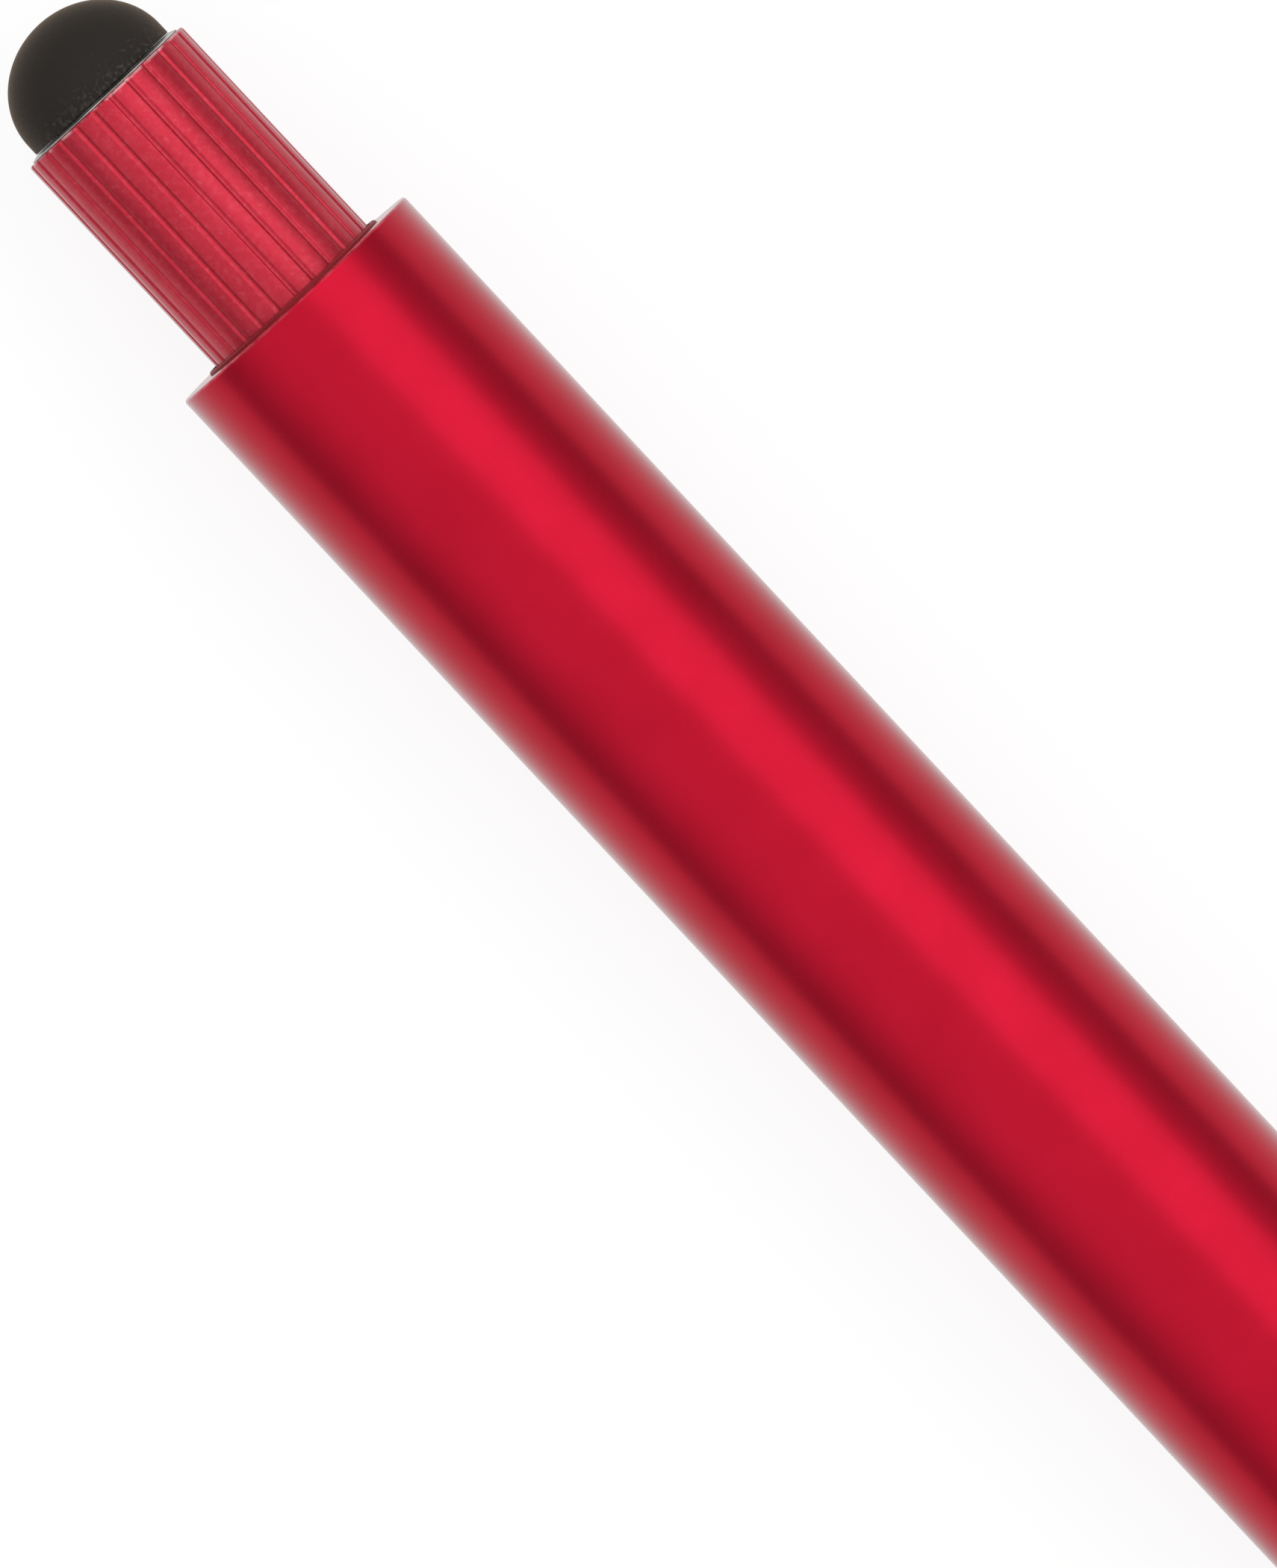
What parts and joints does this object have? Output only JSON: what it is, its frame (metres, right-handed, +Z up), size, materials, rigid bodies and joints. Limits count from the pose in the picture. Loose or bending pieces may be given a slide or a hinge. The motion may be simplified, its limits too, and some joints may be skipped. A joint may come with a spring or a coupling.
{
  "type": "stylus pen",
  "caption": "Slim round click ballpoint pen with a fluted push button that carries a rubber touch-screen stylus dome; the button drives the refill out of a tapered nose.",
  "frame": {"origin": "bottom centre of the lying pen's bounding box, on the surface it lies on", "axes": "+X along the pen's axis towards the writing point, +Z up; the stylus is at -X"},
  "size_m": [0.14, 0.01, 0.01],
  "materials": {
    "red_anodised": "satin",
    "bare_aluminium": "satin",
    "black_rubber": "matte",
    "maroon_plastic": "matte",
    "white_plastic": "matte",
    "grey_plastic": "matte",
    "brass": "satin",
    "refill_steel": "satin",
    "spring_steel": "polished",
    "ball_steel": "polished",
    "ink": "gloss"
  },
  "bodies": {
    "barrel": {"barrel": "red_anodised", "nose_cone": "red_anodised", "thread_bush": "brass", "guide_sleeve": "maroon_plastic", "return_spring": "spring_steel"},
    "button": {"button_tube": "red_anodised", "button_stem": "white_plastic", "stylus_ferrule": "bare_aluminium", "stylus_dome": "black_rubber", "stylus_plug": "bare_aluminium"},
    "refill": {"cam_rotor": "white_plastic", "refill_end_cap": "grey_plastic", "refill_tube": "refill_steel", "ink_column": "ink", "refill_point": "brass"},
    "ball": {"writing_ball": "ball_steel"}
  },
  "joints": [
    {"name": "button_press", "type": "slide", "parent": "barrel", "child": "button", "axis": [1, 0, 0], "range_m": [0, 0.0058], "stiffness_N_per_m": 350, "springref_m": -0.004},
    {"name": "refill_advance", "type": "slide", "parent": "barrel", "child": "refill", "axis": [1, 0, 0], "range_m": [0, 0.0058], "deforming": ["return_spring"]},
    {"name": "ball_roll", "type": "hinge", "parent": "refill", "child": "ball", "pos_m": [0.06757, 0, 0.005], "axis": [0, 1, 0], "continuous": true}
  ],
  "couplings": [
    {"joint": "refill_advance", "follows": "button_press", "ratio": 1}
  ]
}
